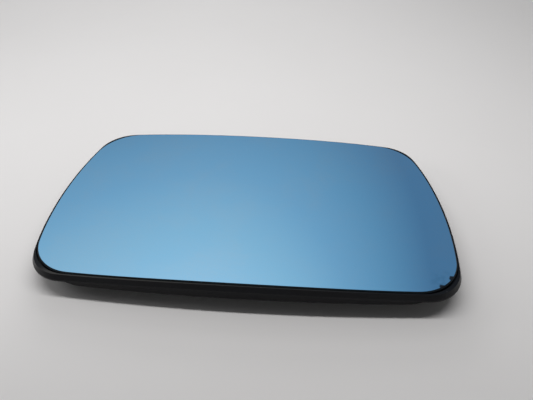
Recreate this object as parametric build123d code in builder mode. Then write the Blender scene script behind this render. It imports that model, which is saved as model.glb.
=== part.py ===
"""Car door mirror glass: a convex coated pane, bonded by its heater foil into a moulded backing plate.

The part lies with its glass up. The Z axis is the axis of the snap ring on the back, the rest
plane is z = 0, at the feet of the ring, and the lower edge of the pane faces -Y.
Sizes are in millimetres.
"""

import os

from build123d import *

# Pane outline: four corners, joined by bowed edges and then rounded
pane_width = 170.6
pane_height = 99.8
side_swell = 2.2
upper_taper = 21.2
upper_shift = -1.6
upper_fall = 1.9
lower_bow = 3.4
right_bow = 6.4
upper_bow = 2.3
left_bow = 6.4
lower_left_radius = 19.6
lower_right_radius = 19.1
upper_right_radius = 20.0
upper_left_radius = 20.6

# Pane section
mirror_radius = 1400.0
glass_thickness = 2.0
edge_bevel = 0.5

# Heater foil
foil_thickness = 0.4
foil_margin = 2.0

# Tray and rim of the backing plate: an ease makes an outline's corners tighter than the pane's
glass_gap = 0.15
lip_wall = 0.45
glass_stand = 0.6
panel_thickness = 2.0
rim_flare = 0.9
flare_depth = 2.2
rim_bevel = 0.9
pocket_ease = 2.0
rim_ease = 5.0

# Skirt and ribs, with their depths below the middle of the tray
skirt_inset = 1.5
skirt_wall = 1.5
skirt_depth = 5.0
skirt_ease = -5.0
rib_wall = 1.2
rib_depth = 4.6
rib_count = 16
hoop_gap = 7.0

# Snap ring: claws that hook over the carrier, and rigid guides between them
ring_depth = 9.6
ring_bore = 31.0
claw_count = 8
claw_arc = 18.0
claw_wall = 1.6
claw_root = 0.7
claw_setback = 0.6
hook_reach = 1.0
hook_lead = 1.4
hook_land = 1.2
claw_slot_arc = 2.6
guide_wall = 2.0
guide_lead = 0.7
carrier_thickness = 3.2
carrier_ledge = 2.6

# Heater terminals
terminal_inset = 31.0
terminal_spacing = 21.0
blade_width = 4.8
blade_thickness = 0.8
blade_length = 7.0
blade_tip = 0.9
blade_hole_radius = 0.8
blade_hole_inset = 3.0
foot_length = 8.4
bend_radius = 0.6
window_gap = 1.4
rivet_radius = 0.9
rivet_head_radius = 1.7
rivet_head_height = 0.6
rivet_inset = 2.4

# Heights above the rest plane
crown_height = ring_depth + panel_thickness + foil_thickness + glass_thickness
skirt_foot = ring_depth - skirt_depth
rib_foot = ring_depth - rib_depth
hook_catch = claw_setback + hook_lead + hook_land
ledge_foot = hook_catch + carrier_thickness

# Radii of the concentric curved faces, from the front of the glass to the back of the tray
front_curve = mirror_radius
lip_curve = front_curve - glass_stand
back_curve = front_curve - glass_thickness
seat_curve = back_curve - foil_thickness
root_curve = seat_curve - panel_thickness / 2
panel_curve = seat_curve - panel_thickness
curve_centre = Vector(0, 0, crown_height - mirror_radius)

# Margins of the outlines, outwards from the edge of the pane
pocket_margin = glass_gap
rim_margin = pocket_margin + lip_wall + rim_flare
skirt_margin = rim_margin - skirt_inset

# Corners of the pane before they are rounded, anticlockwise from the lower left
lower_chord = pane_width - 2 * side_swell
upper_chord = lower_chord - upper_taper
chord_rise = pane_height - lower_bow - upper_bow
pane_corners = [
    Vector(-lower_chord / 2, 0),
    Vector(lower_chord / 2, 0),
    Vector(upper_shift + upper_chord / 2, chord_rise - upper_fall / 2),
    Vector(upper_shift - upper_chord / 2, chord_rise + upper_fall / 2),
]
pane_bows = [lower_bow, right_bow, upper_bow, left_bow]
pane_radii = [lower_left_radius, lower_right_radius, upper_right_radius, upper_left_radius]

# Radii and angles of the snap ring
hook_radius = ring_bore - hook_reach
ring_root = ring_depth + panel_thickness / 2
guide_arc = 360 / claw_count - claw_arc - 2 * claw_slot_arc
half_pitch = 180 / claw_count
hoop_radius = ring_bore + guide_wall + hoop_gap

# Place of the heater terminals
terminal_distance = pane_width / 2 - terminal_inset


def bowed_edge(start, end, bow):
    """The centre and radius of an edge that bows outwards from its chord."""
    chord = end - start
    outward = Vector(chord.Y, -chord.X).normalized()
    radius = (chord.length**2 / 4 + bow**2) / (2 * bow)
    return (start + end) / 2 + outward * (bow - radius), radius


def corner_centre(before, after, corner, rounding):
    """The centre of the arc that rounds a corner and touches the edges on both sides of it."""
    (before_centre, before_radius), (after_centre, after_radius) = before, after
    reach, other_reach = before_radius - rounding, after_radius - rounding
    across = after_centre - before_centre
    along = (reach**2 - other_reach**2 + across.length**2) / (2 * across.length)
    foot = before_centre + across.normalized() * along
    rise = Vector(-across.Y, across.X).normalized() * (reach**2 - along**2) ** 0.5
    return min((foot + rise, foot - rise), key=lambda centre: (centre - corner).length)


def touch_point(edge, centre, margin):
    """The point of the grown outline where an edge runs into a rounded corner."""
    edge_centre, radius = edge
    return edge_centre + (centre - edge_centre).normalized() * (radius + margin)


def short_arc(centre, start, end):
    """The shorter arc about a centre, from one point to another."""
    outward = ((start + end) / 2 - centre).normalized()
    ThreePointArc(start, centre + outward * (start - centre).length, end)


def pane_outline(margin, ease=0.0):
    """The outline of the pane, grown by a margin, with corners tightened by an ease."""
    count = len(pane_corners)
    edges = [
        bowed_edge(pane_corners[index], pane_corners[(index + 1) % count], pane_bows[index])
        for index in range(count)
    ]
    centres = [
        corner_centre(edges[index - 1], edges[index], pane_corners[index], pane_radii[index] - ease)
        for index in range(count)
    ]
    with BuildSketch() as outline:
        with BuildLine():
            for index, edge in enumerate(edges):
                centre = centres[index]
                next_centre = centres[(index + 1) % count]
                edge_start = touch_point(edge, centre, margin)
                short_arc(centre, touch_point(edges[index - 1], centre, margin), edge_start)
                short_arc(edge[0], edge_start, touch_point(edge, next_centre, margin))
        make_face()
    middle = outline.sketch.bounding_box().center()
    return outline.sketch.moved(Location((-middle.X, -middle.Y, 0)))


def ball(radius, mode):
    """A ball on the common centre of the curved faces, with its poles clear of the pane."""
    with Locations(curve_centre):
        Sphere(radius, rotation=(90, 0, 0), mode=mode)


def seat_plane(x, y):
    """The plane that touches the seat of the tray above a point, facing the glass."""
    height = (seat_curve**2 - x**2 - y**2) ** 0.5
    normal = Vector(x, y, height).normalized()
    origin = curve_centre + normal * seat_curve
    return Plane(origin, x_dir=(normal.Z, 0, -normal.X), z_dir=normal)


def section_plane(seat, shift=0.0):
    """The upright plane along a seat plane's length, moved along it by a shift."""
    return Plane(seat.origin + seat.x_dir * shift, x_dir=seat.x_dir, z_dir=-seat.y_dir)


terminal_seats = {
    "lower": seat_plane(terminal_distance, -terminal_spacing / 2),
    "upper": seat_plane(terminal_distance, terminal_spacing / 2),
}
rivet_shift = foot_length / 2 - rivet_inset

# Mirror pane
with BuildPart() as mirror_glass:
    with BuildSketch():
        add(pane_outline(0))
    extrude(amount=crown_height)
    ball(front_curve, Mode.INTERSECT)
    ball(back_curve, Mode.SUBTRACT)
    chamfer(mirror_glass.faces().filter_by(GeomType.SPHERE).edges(), edge_bevel)

# Heater foil, with a hole for each terminal rivet
with BuildPart() as heater_foil:
    with BuildSketch():
        add(pane_outline(-foil_margin))
    extrude(amount=crown_height)
    ball(back_curve, Mode.INTERSECT)
    ball(seat_curve, Mode.SUBTRACT)
    for seat in terminal_seats.values():
        with BuildSketch(seat):
            with Locations((rivet_shift, 0)):
                Circle(rivet_radius)
        extrude(amount=2 * foil_thickness, both=True, mode=Mode.SUBTRACT)

# Space that the glass and the foil take up in the tray
with BuildPart() as glass_pocket:
    with BuildSketch():
        add(pane_outline(pocket_margin, pocket_ease))
    extrude(amount=2 * crown_height)
    ball(seat_curve, Mode.SUBTRACT)

# One claw of the snap ring: an upright spring wall with a hook at its foot
with BuildPart() as claw:
    with BuildSketch(Plane.XZ.rotated((0, 0, -claw_arc / 2))):
        with BuildLine():
            Polyline(
                (ring_bore, ring_root),
                (ring_bore, hook_catch),
                (hook_radius, hook_catch),
                (hook_radius, hook_catch - hook_land),
                (ring_bore, claw_setback),
                (ring_bore + claw_wall, claw_setback),
                (ring_bore + claw_wall, ring_depth - claw_wall),
                (ring_bore + claw_wall + claw_root, ring_depth),
                (ring_bore + claw_wall + claw_root, ring_root),
                close=True,
            )
        make_face()
    revolve(axis=Axis.Z, revolution_arc=claw_arc)

# Window that the mould leaves in the tray above each hook
with BuildPart() as hook_window:
    with BuildSketch(Plane.XZ.rotated((0, 0, -claw_arc / 2))):
        with Locations(((hook_radius + ring_bore) / 2, hook_catch)):
            Rectangle(hook_reach, crown_height, align=(Align.CENTER, Align.MIN))
    revolve(axis=Axis.Z, revolution_arc=claw_arc)

# One guide of the snap ring: a rigid wall that stands on the rest plane
with BuildPart() as guide:
    with BuildSketch(Plane.XZ.rotated((0, 0, -guide_arc / 2))):
        with BuildLine():
            Polyline(
                (ring_bore, ring_root),
                (ring_bore, guide_lead),
                (ring_bore + guide_lead, 0),
                (ring_bore + guide_wall, 0),
                (ring_bore + guide_wall, ring_root),
                close=True,
            )
        make_face()
    revolve(axis=Axis.Z, revolution_arc=guide_arc)
    with BuildSketch(Plane.XY.offset(ledge_foot)):
        with Locations((ring_bore - carrier_ledge, 0)):
            Rectangle(carrier_ledge + guide_wall / 2, rib_wall, align=(Align.MIN, Align.CENTER))
    extrude(amount=ring_root - ledge_foot)

# What stands on the back of the tray, up to the middle of its thickness
with BuildPart() as back_work:
    with BuildSketch(Plane.XY.offset(skirt_foot)):
        add(pane_outline(skirt_margin, skirt_ease))
        add(pane_outline(skirt_margin - skirt_wall, skirt_ease), mode=Mode.SUBTRACT)
    extrude(amount=crown_height)
    with BuildSketch(Plane.XY.offset(rib_foot)):
        Circle(hoop_radius + rib_wall / 2)
        Circle(hoop_radius - rib_wall / 2, mode=Mode.SUBTRACT)
        with PolarLocations(hoop_radius, rib_count):
            Rectangle(pane_width, rib_wall, align=(Align.MIN, Align.CENTER))
        with PolarLocations(ring_bore + guide_wall / 2, claw_count, start_angle=half_pitch):
            Rectangle(hoop_radius - ring_bore - guide_wall / 2, rib_wall, align=(Align.MIN, Align.CENTER))
        add(pane_outline(skirt_margin - skirt_wall / 2, skirt_ease), mode=Mode.INTERSECT)
    extrude(amount=crown_height)
    ball(root_curve, Mode.INTERSECT)

# Backing plate: the tray with its rim, the work on its back, and the windows through it
with BuildPart() as backing_plate:
    with BuildSketch():
        add(pane_outline(rim_margin, rim_ease))
    extrude(amount=crown_height)
    ball(lip_curve, Mode.INTERSECT)
    ball(panel_curve, Mode.SUBTRACT)
    lip_face = backing_plate.faces().filter_by(GeomType.SPHERE).sort_by(Axis.Z)[-1]
    chamfer(lip_face.edges(), rim_flare, flare_depth, reference=lip_face)
    chamfer(backing_plate.faces().filter_by(GeomType.SPHERE).sort_by(Axis.Z)[0].edges(), rim_bevel)
    add(glass_pocket.part, mode=Mode.SUBTRACT)
    add(back_work.part)
    with PolarLocations(0, claw_count, start_angle=half_pitch):
        add(guide.part)
    with PolarLocations(0, claw_count):
        add(claw.part)
        add(hook_window.part, mode=Mode.SUBTRACT)
    for seat in terminal_seats.values():
        with BuildSketch(seat):
            Rectangle(foot_length + 2 * window_gap, blade_width + 2 * window_gap)
        extrude(amount=2 * panel_thickness, both=True, mode=Mode.SUBTRACT)


def heater_terminal(seat):
    """A folded blade terminal, with its foot on the foil and its blade out through the window."""
    heel = -foot_length / 2
    inner_bend = (heel + blade_thickness, -blade_thickness)
    blade_end = -blade_thickness - blade_length
    with BuildPart() as terminal:
        with BuildSketch(section_plane(seat)) as fold:
            with BuildLine():
                Polyline(
                    (heel, 0),
                    (heel + foot_length, 0),
                    (heel + foot_length, -blade_thickness),
                    inner_bend,
                    (heel + blade_thickness, blade_end),
                    (heel, blade_end),
                    close=True,
                )
            make_face()
            fillet(fold.vertices().sort_by_distance(inner_bend)[0], bend_radius)
            fillet(fold.vertices().sort_by_distance((heel, 0))[0], bend_radius + blade_thickness)
        extrude(amount=blade_width / 2, both=True)
        ball(seat_curve, Mode.INTERSECT)
        chamfer(terminal.edges().filter_by(Axis((0, 0, 0), seat.x_dir)).sort_by(Axis.Z)[:2], blade_tip)
        with BuildSketch(Plane(seat.origin, x_dir=seat.y_dir, z_dir=seat.x_dir)):
            with Locations((0, blade_end + blade_hole_inset)):
                Circle(blade_hole_radius)
        extrude(amount=-foot_length, mode=Mode.SUBTRACT)
        with BuildSketch(seat):
            with Locations((rivet_shift, 0)):
                Circle(rivet_radius)
        extrude(amount=2 * blade_thickness, both=True, mode=Mode.SUBTRACT)
    return terminal.part


# Heater terminals
heater_terminals = {place: heater_terminal(seat) for place, seat in terminal_seats.items()}

# Rivets that hold the terminals to the foil, with a flat head under each foot
with BuildPart() as terminal_rivets:
    for seat in terminal_seats.values():
        rivet_plane = section_plane(seat, rivet_shift)
        with BuildSketch(rivet_plane):
            with BuildLine():
                Polyline(
                    (0, -blade_thickness - rivet_head_height),
                    (0, 2 * foil_thickness),
                    (rivet_radius, 2 * foil_thickness),
                    (rivet_radius, -blade_thickness),
                    (rivet_head_radius, -blade_thickness),
                    (rivet_head_radius, -blade_thickness - rivet_head_height),
                    close=True,
                )
            make_face()
        revolve(axis=Axis(rivet_plane.origin, rivet_plane.y_dir))
    ball(back_curve, Mode.INTERSECT)

os.makedirs("parts", exist_ok=True)
mirror_glass.part.label = "mirror_glass"
export_step(mirror_glass.part, "parts/mirror_glass.step")
heater_foil.part.label = "heater_foil"
export_step(heater_foil.part, "parts/heater_foil.step")
backing_plate.part.label = "backing_plate"
export_step(backing_plate.part, "parts/backing_plate.step")
for place, terminal in heater_terminals.items():
    terminal.label = f"heater_terminal_{place}"
    export_step(terminal, f"parts/heater_terminal_{place}.step")
terminal_rivets.part.label = "terminal_rivets"
export_step(terminal_rivets.part, "parts/terminal_rivets.step")
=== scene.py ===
"""Dresses the car door mirror glass and sets it on a pale floor under soft lamps.

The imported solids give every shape. The pane is remade here with a finer front face, so that
its reflection runs smoothly, and each piece gets the finish of the real one.
Lengths are in metres and angles in degrees.
"""

from __future__ import annotations

import logging
import math
from dataclasses import dataclass, field
from enum import Enum, IntEnum
from typing import Callable

import bmesh
import bpy
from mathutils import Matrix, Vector


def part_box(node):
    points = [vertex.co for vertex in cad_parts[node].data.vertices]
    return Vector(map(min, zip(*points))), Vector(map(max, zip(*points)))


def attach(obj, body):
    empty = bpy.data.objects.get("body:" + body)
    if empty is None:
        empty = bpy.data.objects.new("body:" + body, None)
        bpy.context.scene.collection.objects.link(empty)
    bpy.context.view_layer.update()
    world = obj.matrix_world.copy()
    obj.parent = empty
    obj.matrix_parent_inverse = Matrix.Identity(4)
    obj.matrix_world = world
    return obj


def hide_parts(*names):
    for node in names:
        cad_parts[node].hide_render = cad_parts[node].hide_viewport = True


Colour = tuple[float, float, float]
Point = tuple[float, float, float]
Span = tuple[float, float]
Socket = bpy.types.NodeSocket

MM = 0.001
RISING: Span = (0.0, 1.0)
FALLING: Span = (1.0, 0.0)

GRAIN_NOISE = {"Detail": 3.0, "Roughness": 0.6}
PATCH_NOISE = {"Detail": 4.0, "Roughness": 0.55}
PATCH_SPAN: Span = (0.3, 0.7)
DUST_FACING: Span = (0.3, 0.9)
# Faces this near straight up get the painted highlight on the plastic's lip.
HIGHLIGHT_FACING: Span = (0.75, 0.97)

log = logging.getLogger("mirror_glass")
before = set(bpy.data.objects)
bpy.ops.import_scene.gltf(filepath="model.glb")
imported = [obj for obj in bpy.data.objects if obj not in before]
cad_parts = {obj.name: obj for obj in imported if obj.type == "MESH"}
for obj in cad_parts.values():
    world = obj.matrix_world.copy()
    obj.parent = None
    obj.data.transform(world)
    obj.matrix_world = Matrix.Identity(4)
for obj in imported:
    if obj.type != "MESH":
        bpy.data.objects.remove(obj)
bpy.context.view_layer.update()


class NodeBench:
    """A node tree under construction, with one short way to add and join its nodes."""

    def __init__(self, tree: bpy.types.NodeTree) -> None:
        """Empties a node tree and keeps it.

        Args:
            tree: The tree of a material, a world or a node group.
        """
        self.tree = tree
        tree.nodes.clear()

    def feed(self, target: Socket, value: object) -> None:
        """Joins an input to another socket, or sets its value.

        Args:
            target: The input.
            value: The socket to join, or the value.
        """
        if isinstance(value, Socket):
            self.tree.links.new(value, target)
        else:
            target.default_value = value

    def add(self, kind: str, inputs: dict[str | int, object] | None = None,
            **settings: object) -> bpy.types.Node:
        """Adds a node and fills its inputs.

        Args:
            kind: The node's type name.
            inputs: A value, or a socket to join, for each input by its name or number.
            settings: The node's own properties.

        Returns:
            The new node.
        """
        node = self.tree.nodes.new(kind)
        for name, value in settings.items():
            setattr(node, name, value)
        for key, value in (inputs or {}).items():
            self.feed(node.inputs[key], value)
        return node

    def math(self, operation: str, *values: object, clamp: bool = False) -> Socket:
        """Adds a Math node and returns its output.

        Args:
            operation: The name of the operation.
            values: Its operands, as numbers or sockets.
            clamp: Whether the result stays between 0 and 1.

        Returns:
            The result's socket.
        """
        node = self.add("ShaderNodeMath", dict(enumerate(values)), operation=operation, use_clamp=clamp)
        return node.outputs["Value"]

    def distance(self, place: Socket, centre: Point) -> Socket:
        """Measures how far a place is from a point.

        Args:
            place: The place.
            centre: The point.

        Returns:
            The distance's socket.
        """
        node = self.add("ShaderNodeVectorMath", {0: place, 1: centre}, operation="DISTANCE")
        return node.outputs["Value"]

    def noise(self, place: Socket, scale: float, detail: float) -> Socket:
        """Adds soft noise.

        Args:
            place: The place that the noise reads.
            scale: How many blotches there are in a metre.
            detail: How many finer layers the noise has.

        Returns:
            The noise's socket.
        """
        node = self.add("ShaderNodeTexNoise", {"Vector": place, "Scale": scale, "Detail": detail})
        return node.outputs["Fac"]

    def axes(self, place: Socket) -> bpy.types.NodeOutputs:
        """The three coordinates of a place or a direction."""
        return self.add("ShaderNodeSeparateXYZ", {"Vector": place}).outputs

    def remap(self, value: Socket, span: Span, to: Span = RISING, soft: bool = True) -> Socket:
        """Maps a value from one span to another, and holds it at the ends.

        Args:
            value: The socket to map.
            span: The values that map to the two ends.
            to: The two ends.
            soft: Whether the change eases in and out.

        Returns:
            The mapped value's socket.
        """
        inputs = {"Value": value, "From Min": span[0], "From Max": span[1]}
        inputs |= {"To Min": to[0], "To Max": to[1]}
        kind = "SMOOTHSTEP" if soft else "LINEAR"
        return self.add("ShaderNodeMapRange", inputs, interpolation_type=kind).outputs["Result"]

    def blend(self, share: Socket, first: Colour | Socket, second: Colour | Socket) -> Socket:
        """Mixes two colours.

        Args:
            share: How much of the second colour there is.
            first: The first colour, as numbers or a socket.
            second: The second colour, as numbers or a socket.

        Returns:
            The mixed colour's socket.
        """
        node = self.add("ShaderNodeMix", data_type="RGBA")
        named = {"Factor_Float": share, "A_Color": first, "B_Color": second}
        for socket in node.inputs:
            if socket.identifier in named:
                value = named[socket.identifier]
                self.feed(socket, (*value, 1.0) if isinstance(value, tuple) else value)
        return next(socket for socket in node.outputs if socket.identifier == "Result_Color")


class Effect(Enum):
    """The surface effects that several finishes share, each a node group."""

    GRAIN = "surface_grain"
    DUST = "settled_dust"

    def tree(self) -> bpy.types.NodeTree:
        """The effect's node group, built on first use."""
        found = bpy.data.node_groups.get(self.value)
        return found or {Effect.GRAIN: build_grain, Effect.DUST: build_dust_and_highlight}[self](self.value)


def new_group(name: str, inputs: dict[str, float],
              outputs: list[str]) -> tuple[bpy.types.NodeTree, NodeBench]:
    """Starts a node group that reads a place and some numbers and gives some values.

    Args:
        name: The group's name.
        inputs: The number inputs, with their usual values.
        outputs: The names of the value outputs.

    Returns:
        The group and a bench for its nodes.
    """
    tree = bpy.data.node_groups.new(name, "ShaderNodeTree")
    tree.interface.new_socket("Place", in_out="INPUT", socket_type="NodeSocketVector")
    for label, value in inputs.items():
        socket = tree.interface.new_socket(label, in_out="INPUT", socket_type="NodeSocketFloat")
        socket.default_value = value
    for label in outputs:
        tree.interface.new_socket(label, in_out="OUTPUT", socket_type="NodeSocketFloat")
    return tree, NodeBench(tree)


def build_grain(name: str) -> bpy.types.NodeTree:
    """The fine grain that a mould or a rolling mill leaves, with slow patches of more and less gloss.

    Args:
        name: The group's name.

    Returns:
        The node group.
    """
    tree, bench = new_group(name, {"Fine": 2600.0, "Patch": 60.0}, ["Height", "Patches"])
    given = bench.add("NodeGroupInput").outputs
    place = given["Place"]
    fine = bench.add("ShaderNodeTexNoise", {"Vector": place, "Scale": given["Fine"], **GRAIN_NOISE})
    patch = bench.add("ShaderNodeTexNoise", {"Vector": place, "Scale": given["Patch"], **PATCH_NOISE})
    patches = bench.remap(patch.outputs["Fac"], PATCH_SPAN)
    bench.add("NodeGroupOutput", {"Height": fine.outputs["Fac"], "Patches": patches})
    return tree


def build_dust_and_highlight(name: str) -> bpy.types.NodeTree:
    """Small specks of dust on what faces up, and a mask of what faces straight up, where a highlight is
    painted.

    Args:
        name: The group's name.

    Returns:
        The node group.
    """
    tree, bench = new_group(name, {"Pitch": 900.0, "Size": 0.16, "Share": 0.3}, ["Mask", "Highlight"])
    given = bench.add("NodeGroupInput").outputs
    cells = bench.add("ShaderNodeTexVoronoi", {"Vector": given["Place"], "Scale": given["Pitch"]})
    round_specks = bench.math("LESS_THAN", cells.outputs["Distance"], given["Size"])
    chance = bench.add("ShaderNodeSeparateColor", {"Color": cells.outputs["Color"]}).outputs["Red"]
    kept = bench.math("LESS_THAN", chance, given["Share"])
    facing = bench.axes(bench.add("ShaderNodeNewGeometry").outputs["Normal"])["Z"]
    specks = bench.math("MULTIPLY", round_specks, kept)
    mask = bench.math("MULTIPLY", specks, bench.remap(facing, DUST_FACING))
    # The second output marks what faces straight up, for a painted highlight, not for dust.
    bench.add("NodeGroupOutput", {"Mask": mask, "Highlight": bench.remap(facing, HIGHLIGHT_FACING)})
    return tree


@dataclass(frozen=True)
class Grain:
    """The grain of a surface, in blotches to the metre: its fine part and its slow patches."""

    fine: float
    patch: float


@dataclass(frozen=True)
class Bump:
    """A raised texture: how much of it shows, and its height."""

    strength: float
    depth: float


@dataclass(frozen=True)
class Finish:
    """What all finishes share: a name, a ground colour, a range of roughness and a grain."""

    name: str
    colour: Colour
    roughness: Span
    grain: Grain

    def start(self) -> tuple[bpy.types.Material, NodeBench, bpy.types.Node, Socket]:
        """Makes the material with a Principled shader.

        Returns:
            The material, a bench for its nodes, its shader and the socket of the surface's own place.
        """
        material = bpy.data.materials.new(self.name)
        material.use_nodes = True
        bench = NodeBench(material.node_tree)
        shader = bench.add("ShaderNodeBsdfPrincipled")
        bench.add("ShaderNodeOutputMaterial", {"Surface": shader.outputs["BSDF"]})
        return material, bench, shader, bench.add("ShaderNodeTexCoord").outputs["Object"]

    def effect(self, bench: NodeBench, kind: Effect, place: Socket,
               **values: float) -> bpy.types.NodeOutputs:
        """Places a shared effect.

        Args:
            bench: The material's bench.
            kind: The effect.
            place: The surface's own place.
            values: The effect's numbers.

        Returns:
            The effect's outputs.
        """
        return bench.add("ShaderNodeGroup", {"Place": place, **values}, node_tree=kind.tree()).outputs

    def grained(self, bench: NodeBench, place: Socket, grain: Grain) -> bpy.types.NodeOutputs:
        """Places the shared grain with its numbers."""
        return self.effect(bench, Effect.GRAIN, place, Fine=grain.fine, Patch=grain.patch)

    def mottle(self, bench: NodeBench, patches: Socket, gain: float) -> Socket:
        """The ground colour, with a gain where the patches are."""
        return bench.blend(patches, self.colour, tuple(gain * part for part in self.colour))

    def roughen(self, bench: NodeBench, shader: bpy.types.Node, patches: Socket) -> None:
        """Lets the roughness drift over its range.

        Args:
            bench: The material's bench.
            shader: The material's shader.
            patches: Where the surface is rougher.
        """
        bench.feed(shader.inputs["Roughness"], bench.remap(patches, RISING, self.roughness, soft=False))

    def raise_bump(self, bench: NodeBench, shader: bpy.types.Node, height: Socket, bump: Bump) -> None:
        """Raises a texture as a bump.

        Args:
            bench: The material's bench.
            shader: The material's shader.
            height: The texture's height.
            bump: How far the texture is raised.
        """
        inputs = {"Height": height, "Strength": bump.strength, "Distance": bump.depth}
        bench.feed(shader.inputs["Normal"], bench.add("ShaderNodeBump", inputs).outputs["Normal"])


@dataclass(frozen=True)
class CoatFinish(Finish):
    """The blue reflective coat behind clear glass, dark where it has chipped at one corner."""

    name: str = "blue_mirror_coat"
    colour: Colour = (0.26, 0.60, 0.90)
    roughness: Span = (0.02, 0.05)
    grain: Grain = Grain(fine=1400.0, patch=45.0)
    glass_roughness: float = 0.015
    chip_colour: Colour = (0.010, 0.014, 0.022)
    chips: tuple[tuple[Point, float], ...] = (
        ((81.6 * MM, -39.3 * MM, 11.1 * MM), 1.3 * MM),
        ((77.4 * MM, -44.0 * MM, 11.2 * MM), 1.3 * MM),
    )
    chip_ragged: float = 0.7 * MM
    chip_edge: float = 0.25 * MM
    chip_scale: float = 700.0
    chip_detail: float = 2.0
    worn_colour: Colour = (0.17, 0.47, 0.72)
    worn_place: Point = (79.0 * MM, -41.4 * MM, 11.1 * MM)
    worn_reach: Span = (2.0 * MM, 7.5 * MM)
    worn_scale: float = 420.0
    worn_detail: float = 3.0
    worn_span: Span = (0.35, 0.65)
    worn_share: Span = (0.1, 0.9)

    def build(self) -> bpy.types.Material:
        """Makes the coat's material.

        Returns:
            The material.
        """
        material, bench, shader, place = self.start()
        grain = self.grained(bench, place, self.grain)
        sound = bench.blend(self.worn(bench, place), self.colour, self.worn_colour)
        tone = bench.blend(self.chipped(bench, place), sound, self.chip_colour)
        bench.feed(shader.inputs["Base Color"], tone)
        self.roughen(bench, shader, grain["Patches"])
        bench.feed(shader.inputs["Metallic"], 1.0)
        bench.feed(shader.inputs["Coat Weight"], 1.0)
        bench.feed(shader.inputs["Coat Roughness"], self.glass_roughness)
        return material

    def worn(self, bench: NodeBench, place: Socket) -> Socket:
        """Where the coat is thin: blotches round the lower right corner.

        Args:
            bench: The material's bench.
            place: The surface's own place.

        Returns:
            The mask's socket.
        """
        blotches = bench.noise(place, self.worn_scale, self.worn_detail)
        near = bench.remap(bench.distance(place, self.worn_place), self.worn_reach, FALLING)
        return bench.math("MULTIPLY", near, bench.remap(blotches, self.worn_span, self.worn_share))

    def chipped(self, bench: NodeBench, place: Socket) -> Socket:
        """Where the coat is gone: ragged round chips along the lower right corner.

        Args:
            bench: The material's bench.
            place: The surface's own place.

        Returns:
            The mask's socket.
        """
        ragged = bench.math("SUBTRACT", bench.noise(place, self.chip_scale, self.chip_detail), 0.5)
        shift = bench.math("MULTIPLY", ragged, 2 * self.chip_ragged)
        mask: Socket | float = 0.0
        for centre, radius in self.chips:
            edge = bench.math("ADD", bench.distance(place, centre), shift)
            chip = bench.remap(edge, (radius + self.chip_edge, radius - self.chip_edge))
            mask = bench.math("MAXIMUM", mask, chip)
        return mask


@dataclass(frozen=True)
class GroundGlassFinish(Finish):
    """The ground edge of the pane: dark, slightly blue glass with a matt face."""

    name: str = "ground_glass_edge"
    colour: Colour = (0.006, 0.008, 0.010)
    roughness: Span = (0.32, 0.5)
    grain: Grain = Grain(fine=4000.0, patch=260.0)
    bump: Bump = Bump(strength=0.4, depth=0.03 * MM)
    patch_gain: float = 1.6
    specular_level: float = 0.15

    def build(self) -> bpy.types.Material:
        """Makes the ground edge's material.

        Returns:
            The material.
        """
        material, bench, shader, place = self.start()
        grain = self.grained(bench, place, self.grain)
        bench.feed(shader.inputs["Base Color"], self.mottle(bench, grain["Patches"], self.patch_gain))
        self.roughen(bench, shader, grain["Patches"])
        self.raise_bump(bench, shader, grain["Height"], self.bump)
        bench.feed(shader.inputs["Specular IOR Level"], self.specular_level)
        return material


@dataclass(frozen=True)
class PlasticFinish(Finish):
    """Black moulded plastic with the fine grain of a sparked mould, a little dust and a painted highlight
    on the near lip.
    """

    name: str = "black_moulded_plastic"
    colour: Colour = (0.0042, 0.0043, 0.0056)
    roughness: Span = (0.30, 0.42)
    grain: Grain = Grain(fine=2600.0, patch=70.0)
    bump: Bump = Bump(strength=0.35, depth=0.05 * MM)
    patch_gain: float = 1.5
    specular_level: float = 0.16
    dust_colour: Colour = (0.10, 0.098, 0.095)
    dust_pitch: float = 700.0
    dust_size: float = 0.13
    dust_share: float = 0.16
    dust_cover: float = 0.5
    # Painted highlight: a lighter tone on the top of the near lip in place of a lamp's glint, fading to
    # the right.
    lip_highlight_colour: Colour = (0.040, 0.039, 0.038)
    lip_highlight_across: Span = (-72 * MM, 56 * MM)
    lip_highlight_inward: Span = (-47.5 * MM, -43.5 * MM)
    lip_highlight_share: Span = (1.0, 0.05)

    def build(self) -> bpy.types.Material:
        """Makes the plastic's material.

        Returns:
            The material.
        """
        material, bench, shader, place = self.start()
        grain = self.grained(bench, place, self.grain)
        dust = self.effect(bench, Effect.DUST, place, Pitch=self.dust_pitch, Size=self.dust_size,
                           Share=self.dust_share)
        # Painted highlight: the lip's top is made lighter where it faces up, less of it to the right.
        film = bench.math("MULTIPLY", dust["Highlight"], self.lip_highlight(bench, place))
        ground = self.mottle(bench, grain["Patches"], self.patch_gain)
        highlighted = bench.blend(film, ground, self.lip_highlight_colour)
        specks = bench.math("MULTIPLY", dust["Mask"], self.dust_cover)
        bench.feed(shader.inputs["Base Color"], bench.blend(specks, highlighted, self.dust_colour))
        self.roughen(bench, shader, grain["Patches"])
        self.raise_bump(bench, shader, grain["Height"], self.bump)
        bench.feed(shader.inputs["Specular IOR Level"], self.specular_level)
        return material

    def lip_highlight(self, bench: NodeBench, place: Socket) -> Socket:
        """Where the highlight is painted: on the near lip, and less of it to the right.

        Args:
            bench: The material's bench.
            place: The surface's own place.

        Returns:
            The mask's socket.
        """
        spot = bench.axes(place)
        across = bench.remap(spot["X"], self.lip_highlight_across, self.lip_highlight_share, soft=False)
        inward = bench.remap(spot["Y"], self.lip_highlight_inward, self.lip_highlight_share)
        return bench.math("MULTIPLY", across, inward)


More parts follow.
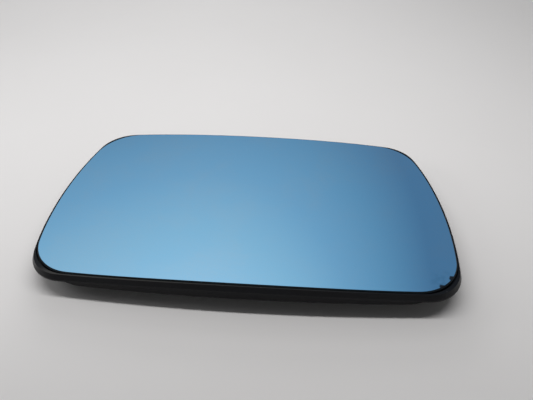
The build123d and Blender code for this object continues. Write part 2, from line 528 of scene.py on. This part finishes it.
@dataclass(frozen=True)
class FilmFinish(Finish):
    """The heater foil: a dark film with printed silver tracks that run across the pane."""

    name: str = "heater_film"
    colour: Colour = (0.045, 0.030, 0.020)
    roughness: Span = (0.28, 0.42)
    grain: Grain = Grain(fine=1800.0, patch=90.0)
    bump: Bump = Bump(strength=0.3, depth=0.02 * MM)
    track_colour: Colour = (0.42, 0.41, 0.39)
    track_pitch: float = 4.0 * MM
    track_share: float = 0.3
    track_edge: float = 0.02
    track_metallic: float = 0.7

    def build(self) -> bpy.types.Material:
        """Makes the film's material.

        Returns:
            The material.
        """
        material, bench, shader, place = self.start()
        grain = self.grained(bench, place, self.grain)
        track = self.track(bench, place)
        bench.feed(shader.inputs["Base Color"], bench.blend(track, self.colour, self.track_colour))
        bench.feed(shader.inputs["Metallic"], bench.math("MULTIPLY", track, self.track_metallic))
        self.roughen(bench, shader, grain["Patches"])
        self.raise_bump(bench, shader, track, self.bump)
        return material

    def track(self, bench: NodeBench, place: Socket) -> Socket:
        """Where the printed tracks are.

        Args:
            bench: The material's bench.
            place: The surface's own place.

        Returns:
            The mask's socket.
        """
        turn = bench.math("FRACT", bench.math("DIVIDE", bench.axes(place)["Y"], self.track_pitch))
        from_middle = bench.math("ABSOLUTE", bench.math("SUBTRACT", turn, 0.5))
        half = self.track_share / 2
        return bench.remap(from_middle, (half + self.track_edge, half))


@dataclass(frozen=True)
class BrassFinish(Finish):
    """Rolled brass strip with faint lines along the strip and a dull tarnish."""

    name: str = "rolled_brass"
    colour: Colour = (0.72, 0.53, 0.25)
    roughness: Span = (0.24, 0.44)
    grain: Grain = Grain(fine=3000.0, patch=420.0)
    lines: Grain = Grain(fine=9000.0, patch=900.0)
    line_scale: Point = (0.06, 1.0, 0.06)
    bump: Bump = Bump(strength=0.25, depth=0.01 * MM)
    tarnish_colour: Colour = (0.36, 0.24, 0.11)
    tarnish_cover: float = 0.6

    def build(self) -> bpy.types.Material:
        """Makes the brass material.

        Returns:
            The material.
        """
        material, bench, shader, place = self.start()
        along = bench.add("ShaderNodeMapping", {"Vector": place, "Scale": self.line_scale})
        lines = self.grained(bench, along.outputs["Vector"], self.lines)
        stains = self.grained(bench, place, self.grain)
        tarnish = bench.math("MULTIPLY", stains["Patches"], self.tarnish_cover)
        bench.feed(shader.inputs["Base Color"], bench.blend(tarnish, self.colour, self.tarnish_colour))
        bench.feed(shader.inputs["Metallic"], 1.0)
        self.roughen(bench, shader, stains["Patches"])
        self.raise_bump(bench, shader, lines["Height"], self.bump)
        return material


@dataclass(frozen=True)
class FloorFinish(Finish):
    """A plain pale sheet that fades into the surroundings far from the part and is open from below."""

    name: str = "pale_sheet"
    colour: Colour = (0.776, 0.762, 0.758)
    roughness: Span = (0.75, 0.85)
    grain: Grain = Grain(fine=300.0, patch=9.0)
    patch_gain: float = 0.985
    fade_centre: Point = (0.0, 0.12, 0.0)
    fade_reach: Span = (0.26, 0.48)
    window_reach: Span = (76 * MM, 43 * MM)
    window_power: float = 4.0

    def build(self) -> bpy.types.Material:
        """Makes the floor's material.

        Returns:
            The material.
        """
        material, bench, shader, place = self.start()
        grain = self.grained(bench, place, self.grain)
        bench.feed(shader.inputs["Base Color"], self.mottle(bench, grain["Patches"], self.patch_gain))
        self.roughen(bench, shader, grain["Patches"])
        bench.feed(shader.inputs["Alpha"], self.cover(bench, place))
        return material

    def cover(self, bench: NodeBench, place: Socket) -> Socket:
        """How solid the floor is: it fades far away, can't be seen from below and has a window for light.

        Args:
            bench: The material's bench.
            place: The surface's own place.

        Returns:
            The share's socket.
        """
        solid = bench.remap(bench.distance(place, self.fade_centre), self.fade_reach, FALLING)
        below = bench.add("ShaderNodeNewGeometry").outputs["Backfacing"]
        light = bench.add("ShaderNodeLightPath").outputs["Is Shadow Ray"]
        passed = bench.math("MULTIPLY", light, self.window(bench, place))
        closed = bench.math("SUBTRACT", 1.0, bench.math("MAXIMUM", below, passed))
        return bench.math("MULTIPLY", solid, closed)

    def window(self, bench: NodeBench, place: Socket) -> Socket:
        """Where the floor lets the light of the lamp below through: inside the rim of the part.

        Args:
            bench: The material's bench.
            place: The surface's own place.

        Returns:
            The mask's socket.
        """
        spot = bench.axes(place)
        shares = [bench.math("DIVIDE", spot[axis], reach) for axis, reach in zip("XY", self.window_reach)]
        powers = [bench.math("POWER", share, self.window_power) for share in shares]
        return bench.math("LESS_THAN", bench.math("ADD", *powers), 1.0)


def open_for_edit(piece: bpy.types.Object) -> None:
    """Selects one piece alone and opens its mesh for editing.

    Args:
        piece: The piece.
    """
    bpy.ops.object.select_all(action="DESELECT")
    piece.select_set(True)
    bpy.context.view_layer.objects.active = piece
    bpy.ops.object.mode_set(mode="EDIT")
    bpy.ops.mesh.select_mode(type="FACE")


def select_faces(piece: bpy.types.Object, wanted: Callable[[bmesh.types.BMFace], bool]) -> None:
    """Selects the faces of an open mesh that pass a test.

    Args:
        piece: The piece whose mesh is open for editing.
        wanted: The test.
    """
    mesh = bmesh.from_edit_mesh(piece.data)
    for face in mesh.faces:
        face.select_set(wanted(face))
    mesh.select_flush_mode()
    bmesh.update_edit_mesh(piece.data)


def dress_node(node: str, material: bpy.types.Material) -> None:
    """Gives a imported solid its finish.

    Args:
        node: The solid's name.
        material: The finish.
    """
    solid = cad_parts[node]
    for place in solid.material_slots:
        place.material = material
    log.info("dressed %s in %s", node, material.name)


class PaneFace(IntEnum):
    """The faces of the pane, in the order of its materials."""

    COAT = 0
    EDGE = 1


@dataclass
class MirrorPane:
    """The convex pane, with a front face fine enough for a smooth reflection."""

    node: str = "mirror_glass"
    curve_radius: float = 1400 * MM
    mesh_pitch: float = 4 * MM
    weld: float = 0.002 * MM
    smooth_angle: float = 30.0
    coat: CoatFinish = field(default_factory=CoatFinish)
    edge: GroundGlassFinish = field(default_factory=GroundGlassFinish)

    def build(self) -> bpy.types.Object:
        """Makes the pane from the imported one, and puts it in its place.

        Returns:
            The finished pane.
        """
        pane = bpy.data.objects.new("mirror_pane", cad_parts[self.node].data.copy())
        bpy.context.collection.objects.link(pane)
        open_for_edit(pane)
        bpy.ops.mesh.customdata_custom_splitnormals_clear()
        bpy.ops.mesh.select_all(action="SELECT")
        bpy.ops.mesh.remove_doubles(threshold=self.weld)
        select_faces(pane, self.is_front)
        bpy.ops.mesh.dissolve_faces()
        self.divide_front(pane)
        bpy.ops.object.mode_set(mode="OBJECT")
        self.round_front(pane)
        self.dress(pane)
        bpy.ops.object.shade_smooth_by_angle(angle=math.radians(self.smooth_angle))
        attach(pane, "root")
        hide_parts(self.node)
        log.info("built %s with %d faces", pane.name, len(pane.data.polygons))
        return pane

    def is_front(self, face: bmesh.types.BMFace | bpy.types.MeshPolygon) -> bool:
        """Whether a face is part of the coated front."""
        return face.normal.z > math.cos(math.radians(self.smooth_angle))

    def divide_front(self, pane: bpy.types.Object) -> None:
        """Cuts the front face into a grid.

        Args:
            pane: The pane, open for editing.
        """
        low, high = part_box(self.node)
        for axis, direction in ((0, Vector((1, 0, 0))), (1, Vector((0, 1, 0)))):
            count = round((high[axis] - low[axis]) / self.mesh_pitch)
            step = (high[axis] - low[axis]) / count
            for index in range(1, count):
                select_faces(pane, self.is_front)
                cut = low + direction * step * index
                bpy.ops.mesh.bisect(plane_co=cut, plane_no=direction, use_fill=False, threshold=self.weld)

    def round_front(self, pane: bpy.types.Object) -> None:
        """Moves the front face's points out to the pane's curve.

        Args:
            pane: The pane.
        """
        centre = Vector((0, 0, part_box(self.node)[1].z - self.curve_radius))
        front = {index for face in pane.data.polygons if self.is_front(face) for index in face.vertices}
        for index in front:
            spot = pane.data.vertices[index]
            spot.co = centre + (spot.co - centre).normalized() * self.curve_radius

    def dress(self, pane: bpy.types.Object) -> None:
        """Gives the front its coat, and the rest ground glass.

        Args:
            pane: The pane.
        """
        pane.data.materials.clear()
        pane.data.materials.append(self.coat.build())
        pane.data.materials.append(self.edge.build())
        for face in pane.data.polygons:
            face.material_index = PaneFace.COAT if self.is_front(face) else PaneFace.EDGE


@dataclass
class BackingPlate:
    """The moulded plate that carries the pane."""

    node: str = "backing_plate"
    plastic: PlasticFinish = field(default_factory=PlasticFinish)

    def dress(self) -> None:
        """Gives the plate its plastic."""
        dress_node(self.node, self.plastic.build())


@dataclass
class Heater:
    """The heater foil with its riveted terminals."""

    foil: str = "heater_foil"
    contacts: tuple[str, ...] = ("heater_terminal_lower", "heater_terminal_upper", "terminal_rivets")
    film: FilmFinish = field(default_factory=FilmFinish)
    brass: BrassFinish = field(default_factory=BrassFinish)

    def dress(self) -> None:
        """Gives the foil its film, and the terminals and rivets their brass."""
        dress_node(self.foil, self.film.build())
        brass = self.brass.build()
        for node in self.contacts:
            dress_node(node, brass)


@dataclass
class PhotoCamera:
    """The camera, at the photograph's place and with its angle of view."""

    target: Point = (7.11 * MM, -0.84 * MM, 14.0 * MM)
    distance: float = 262.24 * MM
    elevation: float = 39.734
    azimuth: float = 4.306
    sensor_width: float = 36.0
    image_width: float = 533.0
    focal_pixels: float = 600.0
    nearest: float = 10 * MM

    def build(self) -> None:
        """Makes the camera and looks through it."""
        data = bpy.data.cameras.new("photo_camera")
        data.sensor_fit = "HORIZONTAL"
        data.sensor_width = self.sensor_width
        data.lens = self.sensor_width * self.focal_pixels / self.image_width
        data.clip_start = self.nearest
        camera = bpy.data.objects.new("photo_camera", data)
        bpy.context.collection.objects.link(camera)
        rise = math.radians(self.elevation)
        turn = math.radians(self.azimuth)
        away = Vector((math.sin(turn) * math.cos(rise), -math.cos(turn) * math.cos(rise), math.sin(rise)))
        camera.location = Vector(self.target) + away * self.distance
        camera.rotation_euler = (-away).to_track_quat("-Z", "Y").to_euler()
        bpy.context.scene.camera = camera


@dataclass(frozen=True)
class Lamp:
    """A flat lamp that faces a spot. Its light may be mirrored, and passed on by what it meets."""

    name: str
    place: Point
    spot: Point
    size: Span
    watts: float
    mirrored: bool = False
    bounces: int = 1024

    def hang(self) -> None:
        """Hangs the lamp."""
        data = bpy.data.lights.new(self.name, "AREA")
        data.shape = "RECTANGLE"
        data.size, data.size_y = self.size
        data.energy = self.watts
        data.cycles.max_bounces = self.bounces
        lamp = bpy.data.objects.new(self.name, data)
        bpy.context.collection.objects.link(lamp)
        lamp.location = self.place
        lamp.rotation_euler = (Vector(self.spot) - Vector(self.place)).to_track_quat("-Z", "Y").to_euler()
        lamp.visible_glossy = self.mirrored


@dataclass
class Studio:
    """The pale floor, the lamps above it, the lamp below for the part's back, and the surroundings."""

    floor_size: float = 1.6
    lamps: tuple[Lamp, ...] = (
        Lamp("long_lamp", (-0.01, -0.011, 0.28), (-0.01, 0.17, 0.0), (0.44, 0.024), 0.67),
        Lamp("high_lamp", (0.0, 0.25, 0.28), (0.0, 0.12, 0.0), (0.30, 0.10), 0.12),
        Lamp("back_lamp", (-0.18, 0.66, 0.28), (-0.02, 0.10, 0.0), (0.50, 0.25), 1.6),
        Lamp("side_lamp", (-0.37, 0.00, 0.18), (-0.08, -0.04, 0.0), (0.16, 0.16), 0.25),
        Lamp("under_lamp", (0.0, -0.01, -0.25), (0.0, 0.0, 0.0), (0.12, 0.06), 1.9,
             mirrored=True, bounces=0),
    )
    horizon_front: Colour = (0.46, 0.46, 0.465)
    horizon_back: Colour = (0.62, 0.625, 0.63)
    horizon_turn: Span = (-0.15, 0.5)
    horizon_rise: Span = (0.10, 0.30)
    fill_low: Colour = (0.32, 0.32, 0.32)
    fill_dark: Colour = (0.01, 0.01, 0.01)
    fill_bright: Colour = (0.30, 0.30, 0.30)
    fill_turn: Span = (-0.35, 0.5)
    fill_rise: Span = (0.1, 0.7)
    fill_foot: Span = (-0.05, 0.0)
    glow_across: Span = (-0.25, 0.38)
    glow_fade: Span = (0.0, 0.96)
    glow_rise: Span = (0.40, 0.78)
    glow_level: Span = (0.395, 1.021)
    glow_stops: tuple[tuple[float, Colour], ...] = (
        (0.30, (0.19, 0.26, 0.34)),
        (0.49, (0.31, 0.41, 0.48)),
        (0.68, (0.45, 0.54, 0.60)),
        (0.87, (0.68, 0.72, 0.73)),
        (1.00, (0.85, 0.84, 0.83)),
    )
    floor: FloorFinish = field(default_factory=FloorFinish)

    def build(self) -> None:
        """Makes the floor, the lamps and the world."""
        self.lay_floor()
        for lamp in self.lamps:
            lamp.hang()
        self.surround()

    def lay_floor(self) -> None:
        """Lays the floor under the part."""
        bpy.ops.object.select_all(action="DESELECT")
        bpy.ops.mesh.primitive_plane_add(size=self.floor_size, location=(0, 0, 0))
        sheet = bpy.context.object
        sheet.name = "floor_sheet"
        sheet.data.materials.append(self.floor.build())

    def surround(self) -> None:
        """Makes the world: a sky that the camera and the pane see, and a fill that lights the part."""
        world = bpy.data.worlds.new("studio")
        bpy.context.scene.world = world
        world.use_nodes = True
        bench = NodeBench(world.node_tree)
        aim = bench.axes(bench.add("ShaderNodeTexCoord").outputs["Generated"])
        ray = bench.add("ShaderNodeLightPath").outputs
        shown = bench.math("MAXIMUM", ray["Is Camera Ray"], ray["Is Glossy Ray"])
        shown = bench.math("MAXIMUM", shown, ray["Is Transmission Ray"])
        shaders = {0: shown, 1: self.fill(bench, aim), 2: self.sky(bench, aim)}
        both = bench.add("ShaderNodeMixShader", shaders).outputs["Shader"]
        bench.add("ShaderNodeOutputWorld", {"Surface": both})

    def sky(self, bench: NodeBench, aim: bpy.types.NodeOutputs) -> Socket:
        """The sky: a pale horizon, and the glow above it.

        Args:
            bench: The world's bench.
            aim: The three coordinates of a direction.

        Returns:
            The shader's socket.
        """
        behind = bench.remap(aim["Y"], self.horizon_turn)
        horizon = bench.blend(behind, self.horizon_front, self.horizon_back)
        above = bench.remap(aim["Z"], self.horizon_rise)
        tone = bench.blend(above, horizon, self.glow(bench, aim))
        return bench.add("ShaderNodeBackground", {"Color": tone}).outputs["Background"]

    def fill(self, bench: NodeBench, aim: bpy.types.NodeOutputs) -> Socket:
        """The fill: soft light from behind and from low in front, and none from under the floor.

        Args:
            bench: The world's bench.
            aim: The three coordinates of a direction.

        Returns:
            The shader's socket.
        """
        before = bench.blend(bench.remap(aim["Z"], self.fill_rise), self.fill_low, self.fill_dark)
        tone = bench.blend(bench.remap(aim["Y"], self.fill_turn), before, self.fill_bright)
        inputs = {"Color": tone, "Strength": bench.remap(aim["Z"], self.fill_foot)}
        return bench.add("ShaderNodeBackground", inputs).outputs["Background"]

    def glow(self, bench: NodeBench, aim: bpy.types.NodeOutputs) -> Socket:
        """The glow overhead, which fades to the right and downwards.

        Args:
            bench: The world's bench.
            aim: The three coordinates of a direction.

        Returns:
            The colour's socket.
        """
        faded = bench.remap(aim["X"], self.glow_across, self.glow_fade, soft=False)
        sideways = bench.math("SUBTRACT", 1.0, bench.math("MULTIPLY", faded, faded))
        upward = bench.remap(aim["Z"], self.glow_rise, self.glow_level, soft=False)
        level = bench.math("MULTIPLY", sideways, upward, clamp=True)
        ramp = bench.add("ShaderNodeValToRGB", {"Fac": level})
        stops = ramp.color_ramp.elements
        while len(stops) < len(self.glow_stops):
            stops.new(0.5)
        for stop, (place, colour) in zip(stops, self.glow_stops):
            stop.position = place
            stop.color = (*colour, 1.0)
        return ramp.outputs["Color"]


def main() -> None:
    """Builds and dresses the pieces, then the studio round them."""
    logging.basicConfig(level=logging.INFO, format="%(name)s: %(message)s")
    bpy.context.scene.view_settings.view_transform = "Standard"
    MirrorPane().build()
    BackingPlate().dress()
    Heater().dress()
    Studio().build()
    PhotoCamera().build()


if __name__ == "__main__":
    main()
